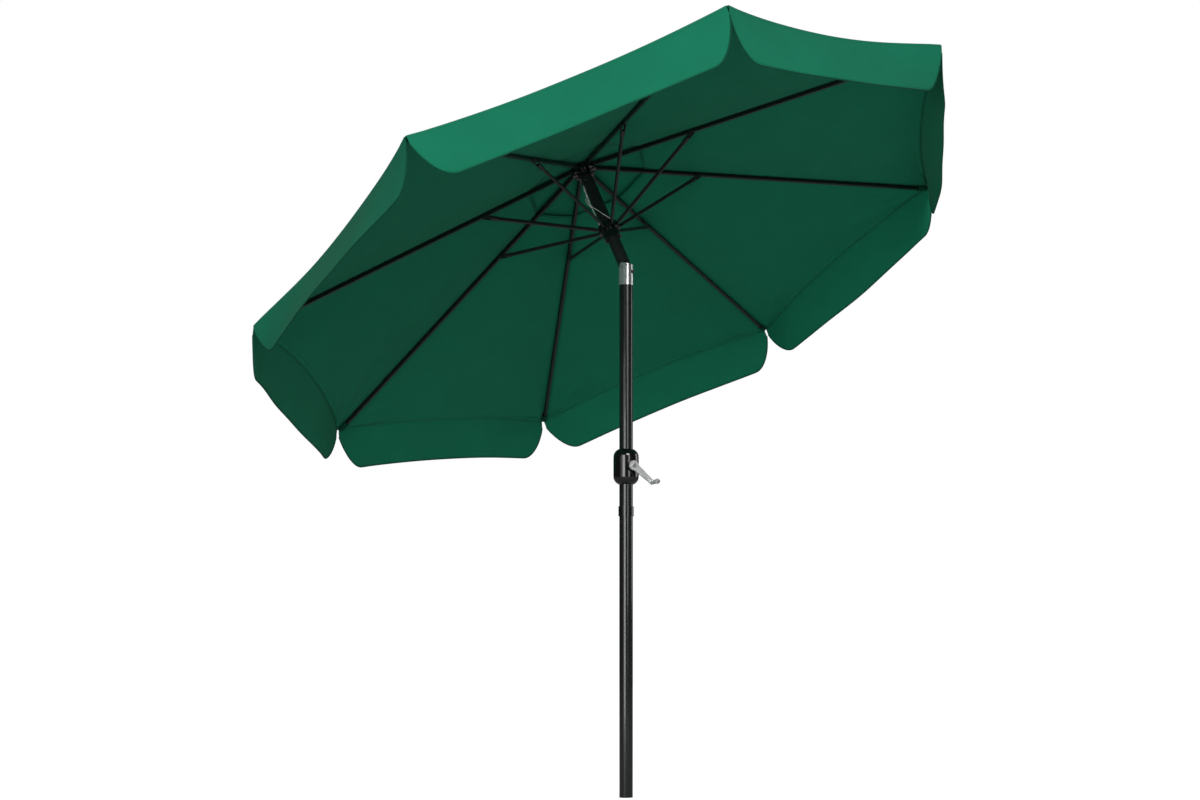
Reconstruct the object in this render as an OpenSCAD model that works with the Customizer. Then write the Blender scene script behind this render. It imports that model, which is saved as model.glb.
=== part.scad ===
// Tilting patio umbrella: two-piece pole, crank lift, push-button tilt joint, eight ribs and
// struts, and an eight-gore canopy with a valance. The origin is the centre of the pole's foot,
// +Z runs up the pole, and the canopy leans towards -X at its last tilt notch. Millimetres.

/* [Pole] */
// Outside diameter of the two pole tubes
pole_d = 48; // [44:1:50]
// Wall of every tube of the pole and mast
tube_wall = 1.5; // [1:0.1:2]
// Height of the top of the lower pole, where the joint collar starts
lower_top_z = 1000; // [900:10:1020]
// Height of the joint collar
collar_h = 34; // [24:1:40]
// Outside diameter of the joint collar
collar_d = 54.4; // [52:0.2:60]

/* [Crank] */
// Height of the crank axle above the foot
crank_z = 1175; // [1140:5:1240]
// Direction in which the crank axle points, seen from above
crank_az = 328.4; // [0:0.1:360]
// Width of the crank housing
housing_w = 90; // [84:1:96]
// Height of the crank housing
housing_h = 129; // [120:1:140]
// Angle of the crank arm below the horizontal
arm_drop = 38.5; // [0:0.1:90]
// Length of the crank arm from the axle to the grip
arm_len = 91; // [80:1:110]

/* [Tilt joint] */
// Height of the tilt pivot above the foot
pivot_z = 1881; // [1860:1:1900]
// Lean of the mast at its last notch
tilt = 26.4; // [26.2:0.1:26.4]
// Outside diameter of the tilting mast tube
mast_d = 44; // [43:1:44]
// Outside diameter of the bright tilt sleeve
sleeve_d = 51.6; // [51:0.2:52]

/* [Frame] */
// Distance of the rib pins above the tilt pivot, along the mast
hub_up = 419; // [400:1:440]
// Distance of the strut pins above the tilt pivot, along the mast
runner_up = 166; // [166:1:180]
// Slope of the open ribs below the plane square to the mast
rib_slope = 15.4; // [14:0.1:17]
// Direction of the first rib in the mast's own frame, seen from its top
rib_az = 7.2; // [0:0.1:44]
// Length of a rib from its pin to its tip
rib_len = 1322; // [1200:1:1330]
// Distance along the rib from its pin to the strut's rivet
strut_at = 406.8; // [380:0.1:430]

/* [Canopy] */
// Distance along the rib line from the rib's pin to the corner of the canopy
corner_at = 1335.8; // [1331:0.1:1345]
// How far each eave curves in between two ribs
eave_sag = 50; // [20:1:70]
// Depth of the valance
valance_h = 155; // [120:1:170]
// How far the valance's lower edge stands out beyond the chord of its eave, at its middle
flare = 25; // [0:1:30]
// Thickness of the cloth solids
cloth_t = 1.2; // [0.8:0.1:1.5]

/* [Hidden] */
$fn = 64;
RIBS = 8;
STEP = 360 / RIBS;
TINY = 0.01;

pole_r = pole_d / 2;
pole_in = pole_r - tube_wall;
mast_r = mast_d / 2;
mast_in = mast_r - tube_wall;
fit_gap = 0.1;          // gap of a pressed-in part, per side

// lower pole and joint
plug_len = 28;
collar_top = lower_top_z + collar_h;
collar_plug = 40;       // length of the collar's plug inside the lower pole
collar_gap = 0.3;       // clearance of the sliding spigot, per side
band_at = [9, 25];      // grooves round the collar, above its lower end
band_h = 2;
spigot_r = 20;
spigot_low = 154;       // length of the spigot below the collar's top
spigot_up = 56;         // length of the spigot inside the upper pole
spigot_wall = 2;

// tilt joint, measured from the pivot
sleeve_r = sleeve_d / 2;
sleeve_in = pole_r + fit_gap;
sleeve_low = -61;
sleeve_up = 16;
pole_end = -31;         // top of the upper pole below the pivot
fork_low = -80;         // lower end of the fork's plug
fork_solid = -25;       // the fork's floor, where its slot ends
fork_top = 34;
insert_len = 54;        // length of the insert inside the mast tube
lean_cut = 22.9;        // half width of the sleeve's opening for the lean
cord_slot = 3.5;        // half width of the cord's way through the joint
spring_r = 3.25;        // mean radius of the button's spring
spring_wire_r = 0.35;
spring_x = [18.95, 19.6];
recess_from = -60;      // the button's recess, as an angle about the pivot at the last notch
recess_to = 5;
mast_start = 16;        // bottom of the mast tube along the mast
pin_r = 4;
run_gap = 0.05;         // radial clearance of a pin in its hole
tongue_t = 16;
tongue_r = 21;
cheek_r = 14.5;
cheek_in = tongue_t / 2 + 0.5;
button_z = -14;
button_r = 5;
nose_r = 2.8;
nose_x = 13;            // the button's inner end
button_out = 33.5;      // the button's outer end
recess_r = 14.8;

// crank parts, in the crank's own frame with +X along the axle
housing_r = housing_w / 2;
corner_r = 30;
axle_r = 5;
groove_z = 37;
groove_h = 2.4;
groove_in = 2;
drum_r = 11;
drum_flange_r = 17;
drum_half = 12;
boss_r = 12;
boss_end = 60;
arm_t = 9;
arm_x = boss_end + 1;
grip_len = 44;
grip_gap = 1;
grip_end = arm_x + arm_t + grip_gap + grip_len;
spring_in = 6;
wire_r = 1;
coil_n = 6;
screw_at = [[33.25, 27], [-33.25, 27], [33.25, -27], [-33.25, -27]];
screw_r = 1.8;
screw_head_r = 3.6;
screw_head_x = -18;
screw_head_h = 3;
shell = 6;              // wall of the housing's ends
arm_root_r = 17;
arm_tip_r = 8.5;
arm_waist = [13, 7]; // half width of the arm at its axle and at its grip
arm_groove = [20, 76]; // the shallow groove on the arm's face, from and to
groove_waist = [6, 3];
groove_deep = 1.5;
grip_pin_r = 3;
half_gap = 0.1;         // gap from each half of the housing to the middle plane

// hub and rib roots, in the mast's frame
hub_r = 44;
hub_low = hub_up - 15;
hub_top = hub_up + 8;
hub_neck_r = 28;
hub_neck_low = hub_up - 37;
mast_top = hub_up + 3;
root_r = 38;
hinge_pin_r = 2;
hub_pin_len = 19;
hub_slot_w = 9.2;
hub_slot_in = 27.5;
washer_r = 26;
washer_top = hub_top + 11;
stud_r = 5;

// ribs, in the rib's own frame with +X along it
rib_w = 10;
rib_h = 14;
rib_wall = 0.8;
rib_tube_from = 20;
rib_tube_to = rib_len - 22;
rib_tongue = 60;        // length of the flat tongue at the rib's pin
rib_plug = [20, 8];     // how far the tip's plug goes into the tube, and out of it
tip_r = 6.8;
tip_len = 14;
rivet_down = 4.6;       // the strut's rivet below the rib's centreline
rivet_half = 8.7;
rivet_head_r = 3.5;

// runner and struts
runner_in = 26.8;
runner_r = 40;
skirt_r = 31;
runner_half = 12;
skirt_low = 42;
lip_up = 20;
foot_r = 34;            // radius of the strut pins
strut_tongue = 40;
strut_tube_from = 14;
strut_tube_end = 28;    // the strut's tube ends this far short of the rivet
fork_block = [48, 26];  // the fork's solid root, back from the rivet
fork_arm = 30;
strut_w = 8;
strut_h = 11;
strut_slot_w = 7.2;
strut_slot_in = 29;
fork_in = 5.4;
fork_out = 7;
fork_hole_r = 2.8;
runner_pin_len = 15;

// rivet of the rib in the plane of the mast and the rib, and the strut that reaches it
rivet_x = root_r + strut_at * cos(rib_slope) - rivet_down * sin(rib_slope);
rivet_z = hub_up - strut_at * sin(rib_slope) - rivet_down * cos(rib_slope);
strut_len = norm([rivet_x - foot_r, rivet_z - runner_up]);
strut_rise = atan2(rivet_z - runner_up, rivet_x - foot_r);

// canopy: the cloth's underside runs this far above each rib's centreline
cloth_up = 8.5;
line_r = root_r + cloth_up * sin(rib_slope);
apex_z = hub_up + cloth_up * cos(rib_slope) + line_r * tan(rib_slope);
apex_back = line_r / cos(rib_slope);
gore_slope = atan(tan(rib_slope) / cos(STEP / 2));
gore_half = asin(cos(rib_slope) * sin(STEP / 2));
corner_d = corner_at + apex_back;
edge_gap = 0.5;         // each gore stops this short of the rib line
vent_hole = 240;        // distance from the apex to the edge of the vent opening
vent_edge = 330;        // distance from the apex to the edge of the vent cap
vent_up = 3.5;          // height of the vent cap over the gore
vent_in = 30;
flap_inset = 0.1055;    // share of the eave taken by each rounded end of a flap
flap_power = 0.65;      // how steeply a flap's end falls: lower is squarer
flare_end = 0.25;       // share of the flare that is left at a flap's ends
flap_cols = 18;
flap_start = 1.5;

// pulley and lift cord, in the mast's frame
cord_r = 1.5;
CORD_SIDES = 8;
cord_az = 222;
pulley_up = 368;
pulley_at = 13;
pulley_r = 10.5;
pulley_floor = 7.2;     // radius of the groove's bottom
pulley_half = 3.5;
pulley_slot = [338, 381];
slot_w = 9;
cord_x = 8;             // the cord runs beside the tilt pin at this offset
cord_hub_end = [22.6, cord_az, 358];
cord_knot = [29, cord_az, 273];
// the two legs of the bridle: radius, direction and distance above the tilt pivot
LEG_NEAR = [[28.2, 226, 262], [27.6, 230, 236], [28.4, 232, 206], [28.8, 233, 187]];
LEG_FAR = [
  [26.8, 236, 263], [24.6, 256, 249], [24.2, 280, 232],
  [25, 305, 213], [28.4, 330, 195], [28.8, 338, 187]
];

function rib_dir(n) = rib_az + (n - 1) * STEP;
function gore_dir(n) = rib_dir(n) + STEP / 2;
function polar(p) = [p[0] * cos(p[1]), p[0] * sin(p[1]), p[2]];

// ---- frames ----

module at_pivot() { translate([0, 0, pivot_z]) children(); }
module on_mast() { at_pivot() rotate([0, -tilt, 0]) children(); }
module on_crank() { translate([0, 0, crank_z]) rotate([0, 0, crank_az]) children(); }
module along_x(from, to, r) { translate([from, 0, 0]) rotate([0, 90, 0]) cylinder(h = to - from, r = r); }
module across_y(half, r) { rotate([90, 0, 0]) cylinder(h = 2 * half, r = r, center = true); }
module block(from, to) { translate(from) cube(to - from); }
module tube(from, to, r_out, r_in) {
  translate([0, 0, from])
    difference() {
      cylinder(h = to - from, r = r_out);
      translate([0, 0, -1]) cylinder(h = to - from + 2, r = r_in);
    }
}

// ---- lower pole ----

module lower_pole() { color("#2b2e30") tube(0, lower_top_z, pole_r, pole_in); }

module foot_plug() {
  color("#151617")
    difference() {
      cylinder(h = plug_len, r = pole_in - fit_gap);
      translate([0, 0, 4]) cylinder(h = plug_len, r = pole_in - 4);
    }
}

module joint_collar() {
  color("#141516")
    difference() {
      union() {
        translate([0, 0, lower_top_z]) cylinder(h = collar_h, r = collar_d / 2);
        translate([0, 0, lower_top_z - collar_plug])
          cylinder(h = collar_plug + TINY, r = pole_in - fit_gap);
      }
      translate([0, 0, lower_top_z - collar_plug - 1])
        cylinder(h = collar_h + collar_plug + 2, r = spigot_r + collar_gap);
      for (up = band_at)
        translate([0, 0, lower_top_z + up]) tube(0, band_h, collar_d, collar_d / 2 - 1);
    }
}

// ---- upper pole ----

module upper_pole() {
  color("#2b2e30")
    difference() {
      tube(collar_top, pivot_z + pole_end, pole_r, pole_in);
      on_crank() along_x(-pole_d, pole_d, axle_r + 2);
    }
}

module pole_spigot() {
  color("#8d9194")
    difference() {
      union() {
        translate([0, 0, collar_top - spigot_low]) cylinder(h = spigot_low + spigot_up, r = spigot_r);
        translate([0, 0, collar_top + TINY]) cylinder(h = spigot_up, r = pole_in - fit_gap);
      }
      translate([0, 0, collar_top - spigot_low - 1])
        cylinder(h = spigot_low + spigot_up + 3, r = spigot_r - spigot_wall);
    }
}

// ---- crank ----

module housing_solid() {
  difference() {
    rotate_extrude()
      difference() {
        union() {
          translate([0, -housing_h / 2]) square([housing_r - corner_r, housing_h]);
          translate([0, -housing_h / 2 + corner_r]) square([housing_r, housing_h - 2 * corner_r]);
          for (side = [-1, 1])
            intersection() {
              translate([housing_r - corner_r, side * (housing_h / 2 - corner_r)]) circle(r = corner_r);
              translate([0, -housing_h / 2]) square([housing_r, housing_h]);
            }
        }
        for (side = [-1, 1])
          translate([housing_r - groove_in, side * groove_z - groove_h / 2]) square([10, groove_h]);
      }
    cylinder(h = 2 * housing_h, r = pole_r + fit_gap, center = true);
  }
}

module crank_housing_front() {
  color("#0d0e0f")
    on_crank()
      difference() {
        union() {
          intersection() {
            housing_solid();
            block([half_gap, -housing_w, -housing_h], [housing_w, housing_w, housing_h]);
          }
          along_x(housing_r - shell - 2, boss_end, boss_r);
        }
        along_x(0, boss_end + 1, axle_r + run_gap);
        along_x(0, housing_r - shell, drum_flange_r - 2);
      }
}

module crank_housing_rear() {
  color("#0d0e0f")
    on_crank()
      difference() {
        intersection() {
          housing_solid();
          block([-housing_w, -housing_w, -housing_h], [-half_gap, housing_w, housing_h]);
        }
        along_x(-housing_r + shell, 0, axle_r + run_gap);
        for (p = screw_at)
          translate([0, p[0], p[1]]) {
            along_x(-housing_w, 1, screw_r + half_gap);
            along_x(-housing_w, screw_head_x, screw_head_r + 0.4);
          }
      }
}

module housing_screws() {
  color("#9a9da0")
    on_crank()
      for (p = screw_at)
        translate([0, p[0], p[1]]) {
          along_x(screw_head_x, -2 * half_gap, screw_r);
          along_x(screw_head_x - screw_head_h, screw_head_x, screw_head_r);
        }
}

module brake_spring() {
  color("#a8abad")
    on_crank()
      for (i = [0 : coil_n - 1])
        translate([pole_r + 3 + 2 * wire_r * i, 0, 0])
          rotate([0, 90, 0])
            rotate_extrude() translate([spring_in + wire_r, 0]) circle(r = wire_r * 1.02, $fn = 16);
}

module crank_axle() {
  color("#b9bcbf")
    on_crank() along_x(-housing_r + shell + 1, arm_x + arm_t + 0.5, axle_r);
}

module cord_drum() {
  color("#1c1d1e")
    on_crank()
      difference() {
        union() {
          along_x(-drum_half, drum_half, drum_r);
          for (x = [-drum_half, drum_half - 2]) along_x(x, x + 2, drum_flange_r);
        }
        along_x(-drum_half - 1, drum_half + 1, axle_r);
      }
}

// the arm's own frame: +X along the axle, +Y along the arm
module on_arm() { on_crank() rotate([-arm_drop, 0, 0]) children(); }

// a tapering slab on the arm, from one distance along it to another
module arm_taper(x, thick, span, half) {
  translate([x, 0, 0])
    rotate([0, 90, 0])
      linear_extrude(thick)
        polygon([[-half[0], span[0]], [half[0], span[0]], [half[1], span[1]], [-half[1], span[1]]]);
}

module crank_arm() {
  color("#c3c6c8")
    on_arm()
      difference() {
        union() {
          along_x(arm_x, arm_x + arm_t, arm_root_r);
          translate([0, arm_len, 0]) along_x(arm_x, arm_x + arm_t, arm_tip_r);
          arm_taper(arm_x, arm_t, [0, arm_len], arm_waist);
        }
        arm_taper(arm_x + arm_t - groove_deep, groove_deep + 1, arm_groove, groove_waist);
        along_x(arm_x - 1, arm_x + arm_t + 1, axle_r);
        translate([0, arm_len, 0]) along_x(arm_x - 1, arm_x + arm_t + 1, grip_pin_r);
      }
}

module crank_nut() {
  color("#a9acae")
    on_arm() along_x(arm_x + arm_t + 0.5, arm_x + arm_t + 5, 7.5, $fn = 6);
}

module grip_pin() {
  color("#b9bcbf")
    on_arm()
      translate([0, arm_len, 0]) {
        along_x(arm_x, grip_end + 1, grip_pin_r);
        along_x(grip_end + 0.5, grip_end + 3, grip_pin_r + 2);
      }
}

module crank_grip() {
  color("#b7babd")
    on_arm()
      translate([arm_x + arm_t + grip_gap, arm_len, 0])
        rotate([0, 90, 0])
          rotate_extrude()
            polygon([
              [grip_pin_r + run_gap, 0], [7.5, 0], [8.5, 4], [7.5, 14], [8, 33],
              [9.5, 40], [8.5, grip_len], [grip_pin_r + run_gap, grip_len]
            ]);
}

module cord_in_pole() {
  color("#e8e8e2")
    translate([cord_x, 0, crank_z + drum_flange_r + 1])
      cylinder(h = pivot_z - tongue_r - crank_z - drum_flange_r - 3, r = cord_r, $fn = 16);
}

// ---- tilt joint ----

module tilt_sleeve() {
  color("#c9ccce")
    at_pivot()
      difference() {
        intersection() {
          tube(sleeve_low, sleeve_up, sleeve_r, sleeve_in);
          union() {
            block([-40, -40, sleeve_low - 1], [40, 40, 0]);
            translate([3, 0, sleeve_up - 60]) across_y(40, 60);
          }
        }
        block([-40, -lean_cut, 2], [0, lean_cut, 40]);
        translate([0, 0, button_z]) along_x(0, 40, button_r + 0.4);
        across_y(40, pin_r);
      }
}

module tilt_fork() {
  color("#3a3d3f")
    at_pivot()
      difference() {
        union() {
          translate([0, 0, fork_low]) cylinder(h = fork_solid - fork_low, r = pole_in - fit_gap);
          intersection() {
            translate([0, 0, fork_solid - 1])
              cylinder(h = fork_top - fork_solid + 1, r = pole_in - fit_gap);
            difference() {
              union() {
                across_y(40, cheek_r);
                block([-cheek_r, -40, fork_solid - 5], [cheek_r, 40, 0]);
              }
              block([-40, -cheek_in, fork_solid], [40, cheek_in, 40]);
            }
          }
        }
        block([cord_x - cord_slot, -cord_slot, fork_low - 10], [cord_x + cord_slot, cord_slot, 0]);
        across_y(40, pin_r);
        translate([0, 0, button_z]) along_x(0, 40, button_r + 0.6);
      }
}

module tilt_pin() { color("#b9bcbf") at_pivot() across_y(sleeve_r, pin_r); }

module tilt_button() {
  color("#101112")
    at_pivot()
      translate([0, 0, button_z]) {
        along_x(nose_x, 20, nose_r);
        along_x(20 - TINY, button_out, button_r);
      }
}

module button_spring() {
  color("#a8abad")
    at_pivot()
      translate([0, 0, button_z])
        for (x = spring_x)
          translate([x, 0, 0])
            rotate([0, 90, 0]) rotate_extrude() translate([spring_r, 0]) circle(r = spring_wire_r, $fn = 16);
}

// a slice of a ring about Z, between two angles and centred on the XY plane
module ring_sector(r_in, r_out, from, to, half) {
  rotate([0, 0, from])
    translate([0, 0, -half])
      rotate_extrude(angle = to - from) translate([r_in, 0]) square([r_out - r_in, 2 * half]);
}

module tilt_insert() {
  color("#2f3234")
    on_mast()
      difference() {
        union() {
          translate([0, 0, mast_start]) cylinder(h = insert_len, r = mast_in - fit_gap);
          across_y(tongue_t / 2, tongue_r);
          block([-17, -tongue_t / 2, 0], [17, tongue_t / 2, mast_start + 1]);
        }
        across_y(40, pin_r + run_gap);
        block([cord_x - cord_slot, -3, -40], [cord_x + cord_slot, 3, mast_start + insert_len + 20]);
        // the button's nose runs in this recess from the last notch to upright
        rotate([0, tilt, 0])
          rotate([90, 0, 0]) ring_sector(recess_r, tongue_r + 3, recess_from, recess_to, tongue_t);
      }
}

// ---- mast and hub ----

module mast_tube() {
  color("#111213")
    on_mast()
      difference() {
        tube(mast_start, mast_top, mast_r, mast_in);
        rotate([0, 0, cord_az]) {
          block([10, -slot_w / 2, pulley_slot[0]], [30, slot_w / 2, pulley_slot[1]]);
          translate([pulley_at, 0, pulley_up]) across_y(30, hinge_pin_r);
        }
      }
}

module top_hub() {
  color("#0e0f10")
    on_mast()
      difference() {
        union() {
          translate([0, 0, hub_low]) cylinder(h = hub_top - hub_low, r = hub_r);
          translate([0, 0, hub_neck_low]) cylinder(h = hub_low - hub_neck_low + 1, r = hub_neck_r);
        }
        translate([0, 0, hub_neck_low - 1]) cylinder(h = mast_top - hub_neck_low + 1, r = mast_r);
        translate([0, 0, mast_top - 1]) cylinder(h = 20, r = stud_r);
        for (n = [1 : RIBS])
          rotate([0, 0, rib_dir(n)]) {
            block([hub_slot_in, -hub_slot_w / 2, hub_low - 1], [hub_r + 2, hub_slot_w / 2, hub_top + 1]);
            translate([root_r, 0, hub_up]) across_y(hub_pin_len / 2, hinge_pin_r);
          }
      }
}

module hub_pins() {
  color("#9a9da0")
    on_mast()
      for (n = [1 : RIBS])
        rotate([0, 0, rib_dir(n)])
          translate([root_r, 0, hub_up]) across_y(hub_pin_len / 2 - 0.2, hinge_pin_r);
}

module pulley_pin() {
  color("#9a9da0")
    on_mast()
      rotate([0, 0, cord_az])
        translate([pulley_at, 0, pulley_up]) across_y(17.6, hinge_pin_r);
}

module hub_pulley() {
  color("#1b1c1d")
    on_mast()
      rotate([0, 0, cord_az])
        translate([pulley_at, 0, pulley_up])
          rotate([90, 0, 0])
            rotate_extrude()
              polygon([
                [hinge_pin_r + run_gap, -pulley_half], [pulley_r, -pulley_half], [pulley_floor, -0.4],
                [pulley_floor, 0.4], [pulley_r, pulley_half], [hinge_pin_r + run_gap, pulley_half]
              ]);
}

module finial_stud() {
  color("#9a9da0") on_mast() translate([0, 0, mast_top + 0.2]) cylinder(h = 34, r = stud_r);
}

module canopy_washer() {
  color("#141516") on_mast() tube(hub_top, washer_top, washer_r, stud_r);
}

module finial() {
  color("#0e0f10")
    on_mast()
      translate([0, 0, washer_top])
        difference() {
          rotate_extrude()
            union() {
              polygon([[0, 0], [32, 0], [32, 3], [20, 9], [11, 16], [9, 24], [0, 24]]);
              intersection() {
                translate([0, 38]) circle(r = 17);
                translate([0, 0]) square([20, 60]);
              }
            }
          translate([0, 0, -1]) cylinder(h = 21, r = stud_r);
        }
}

// ---- lift cord ----

// rings of a round cord along a path; each ring's first corner points along that point's "out"
function unit(v) = v / norm(v);
function heading(path, i) =
  unit(path[min(i + 1, len(path) - 1)] - path[max(i - 1, 0)]);
function ring(at, ahead, out, r) =
  let (side = unit(cross(ahead, out)), up = cross(side, ahead))
  [for (k = [0 : CORD_SIDES - 1]) let (a = k * 360 / CORD_SIDES) at + r * (cos(a) * up + sin(a) * side)];

module cord_tube(path, outs, r) {
  rings = [for (i = [0 : len(path) - 1]) each ring(path[i], heading(path, i), outs[i], r)];
  last = len(path) - 1;
  sides = [for (k = [0 : CORD_SIDES - 1]) k];
  polyhedron(
    points = rings,
    faces = concat(
      [for (i = [0 : last - 1], k = sides)
        let (a = i * CORD_SIDES, next = (k + 1) % CORD_SIDES)
        [a + k, a + CORD_SIDES + k, a + CORD_SIDES + next, a + next]],
      [sides],
      [[for (k = sides) last * CORD_SIDES + CORD_SIDES - 1 - k]]
    )
  );
}

module cord_in_mast() {
  path = [
    [cord_x, 0, 7], [cord_x, 0, 40], [cord_x, 0, 60],
    polar([4, cord_az, pulley_up - 20]), polar([4, cord_az, pulley_up])
  ];
  color("#e8e8e2") on_mast() cord_tube(path, [for (p = path) [0, 1, 0]], cord_r);
}

// a cord against the mast: points are [radius, direction, distance above the tilt pivot]
module mast_cord(points) {
  cord_tube([for (p = points) polar(p)], [for (p = points) [cos(p[1]), sin(p[1]), 0]], cord_r);
}

module lift_cord() {
  color("#f1f1ec")
    on_mast() {
      mast_cord([cord_hub_end, [25.4, cord_az, 340], [27, cord_az, 310], cord_knot]);
      translate(polar(cord_knot)) sphere(r = 3.4, $fn = 24);
      for (leg = [LEG_NEAR, LEG_FAR]) mast_cord(concat([cord_knot], leg));
    }
}

// ---- runner ----

module runner() {
  color("#0e0f10")
    on_mast()
      translate([0, 0, runner_up])
        difference() {
          union() {
            translate([0, 0, -runner_half]) cylinder(h = 2 * runner_half, r = runner_r);
            translate([0, 0, -skirt_low]) cylinder(h = skirt_low, r = skirt_r);
            cylinder(h = lip_up, r = skirt_r);
          }
          translate([0, 0, -skirt_low - 1]) cylinder(h = skirt_low + lip_up + 2, r = runner_in);
          for (n = [1 : RIBS])
            rotate([0, 0, rib_dir(n)]) {
              block(
                [strut_slot_in, -strut_slot_w / 2, -runner_half - 1],
                [runner_r + 2, strut_slot_w / 2, runner_half + 1]
              );
              translate([foot_r, 0, 0]) across_y(runner_pin_len / 2, hinge_pin_r);
            }
        }
}

module runner_pins() {
  color("#9a9da0")
    on_mast()
      for (n = [1 : RIBS])
        rotate([0, 0, rib_dir(n)])
          translate([foot_r, 0, runner_up]) across_y(runner_pin_len / 2 - 0.2, hinge_pin_r);
}

// ---- ribs and struts ----

module box_tube(from, to, w, h, wall) {
  difference() {
    block([from, -w / 2, -h / 2], [to, w / 2, h / 2]);
    block([from - 1, -w / 2 + wall, -h / 2 + wall], [to + 1, w / 2 - wall, h / 2 - wall]);
  }
}

module rib_tip() {
  rotate([0, 90, 0])
    rotate_extrude() {
      square([tip_r, tip_len]);
      intersection() {
        translate([0, tip_len]) circle(r = tip_r);
        square([tip_r + 1, tip_len + tip_r + 1]);
      }
    }
}

module rib(n) {
  tongue_w = rib_w - 2 * rib_wall;
  tongue_h = rib_h - 2 * rib_wall;
  color("#121314")
    on_mast()
      rotate([0, 0, rib_dir(n)])
        translate([root_r, 0, hub_up])
          rotate([0, rib_slope, 0])
            difference() {
              union() {
                box_tube(rib_tube_from, rib_tube_to, rib_w, rib_h, rib_wall);
                block([0, -tongue_w / 2, -tongue_h / 2], [rib_tongue, tongue_w / 2, tongue_h / 2]);
                across_y(tongue_w / 2, tongue_h / 2);
                block(
                  [rib_tube_to - rib_plug[0], -tongue_w / 2, -tongue_h / 2],
                  [rib_tube_to + rib_plug[1], tongue_w / 2, tongue_h / 2]
                );
                translate([rib_tube_to + 0.5, 0, 0]) rib_tip();
                translate([strut_at, 0, -rivet_down]) {
                  across_y(rivet_half - 0.5, hinge_pin_r);
                  for (side = [-1, 1])
                    translate([0, side * (rivet_half - 0.7), 0]) across_y(0.7, rivet_head_r);
                }
              }
              across_y(rib_w, hinge_pin_r + run_gap);
            }
}

module strut(n) {
  tongue_w = strut_w - 2 * rib_wall;
  tongue_h = strut_h - 2 * rib_wall;
  color("#121314")
    on_mast()
      rotate([0, 0, rib_dir(n)])
        translate([foot_r, 0, runner_up])
          rotate([0, -strut_rise, 0])
            difference() {
              union() {
                box_tube(strut_tube_from, strut_len - strut_tube_end, strut_w, strut_h, rib_wall);
                block([0, -tongue_w / 2, -tongue_h / 2], [strut_tongue, tongue_w / 2, tongue_h / 2]);
                across_y(tongue_w / 2, tongue_h / 2);
                block(
                  [strut_len - fork_block[0], -fork_out, -strut_h / 2],
                  [strut_len - fork_block[1], fork_out, strut_h / 2]
                );
                for (side = [-1, 1])
                  translate([strut_len, side * (fork_in + fork_out) / 2, 0]) {
                    across_y((fork_out - fork_in) / 2, strut_h / 2);
                    translate([-fork_arm, -(fork_out - fork_in) / 2, -strut_h / 2])
                      cube([fork_arm, fork_out - fork_in, strut_h]);
                  }
              }
              across_y(strut_w, hinge_pin_r + run_gap);
              translate([strut_len, 0, 0]) across_y(fork_out + 1, fork_hole_r);
            }
}

// ---- canopy ----

// a gore's own frame: the apex is the origin, +X runs down the middle of the gore in its plane
module on_gore(n) {
  on_mast() rotate([0, 0, gore_dir(n)]) translate([0, 0, apex_z]) rotate([0, gore_slope, 0]) children();
}

function rib_line(d, side) = [d * cos(gore_half), side * (d * sin(gore_half) - edge_gap)];
function eave(t) =
  let (a = rib_line(corner_d, -1), b = rib_line(corner_d, 1))
  a + (b - a) * t - [eave_sag * 4 * t * (1 - t), 0];

// a sheet in the gore's plane between two distances from the apex
module gore_sheet(from, outline) {
  linear_extrude(cloth_t) polygon(concat([rib_line(from, 1), rib_line(from, -1)], outline));
}

function flap_fall(t) = pow(sin(90 * min(1, min(t, 1 - t) / flap_inset)), flap_power);

// +Z of the row, seen in gore n's frame
function up_in_gore(n) =
  let (
    in_mast = [sin(tilt), 0, cos(tilt)],
    turned = [in_mast[0] * cos(gore_dir(n)), -in_mast[0] * sin(gore_dir(n)), in_mast[2]]
  )
  [
    turned[0] * cos(gore_slope) - turned[2] * sin(gore_slope),
    turned[1],
    turned[0] * sin(gore_slope) + turned[2] * cos(gore_slope)
  ];

// the flap hangs in the upright plane through its eave, square to the eave
function hang(n) =
  let (up = up_in_gore(n), down = [-up[0], 0, -up[2]])
  down / norm(down);

module flap(n) {
  down = hang(n);
  side = [-down[2], 0, down[0]];
  out = cloth_t * side;
  ts = [for (i = [0 : flap_cols]) 0.004 + 0.992 * (1 - cos(180 * i / flap_cols)) / 2];
  tops = [for (t = ts) [eave(t)[0], eave(t)[1], 0] + flap_start * down];
  feet = [
    for (t = ts)
      let (
        drop = flap_start + 2 + (valance_h - flap_start - 2) * flap_fall(t),
        stand = eave_sag * 4 * t * (1 - t) + flare * (flare_end + (1 - flare_end) * sin(180 * t))
      )
      [eave(t)[0], eave(t)[1], 0] + drop * down + drop / valance_h * stand * side
  ];
  m = flap_cols + 1;
  polyhedron(
    points = concat(tops, feet, [for (p = tops) p + out], [for (p = feet) p + out]),
    faces = concat(
      [for (i = [0 : flap_cols - 1]) each [[i, m + i, m + i + 1], [i, m + i + 1, i + 1]]],
      [for (i = [0 : flap_cols - 1])
        each [[2 * m + i, 3 * m + i + 1, 3 * m + i], [2 * m + i, 2 * m + i + 1, 3 * m + i + 1]]],
      [for (i = [0 : flap_cols - 1]) each [[i, i + 1, 2 * m + i + 1], [i, 2 * m + i + 1, 2 * m + i]]],
      [for (i = [0 : flap_cols - 1])
        each [[m + i, 3 * m + i, 3 * m + i + 1], [m + i, 3 * m + i + 1, m + i + 1]]],
      [[0, 2 * m, 3 * m, m], [m - 1, 2 * m - 1, 4 * m - 1, 3 * m - 1]]
    )
  );
}

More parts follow.
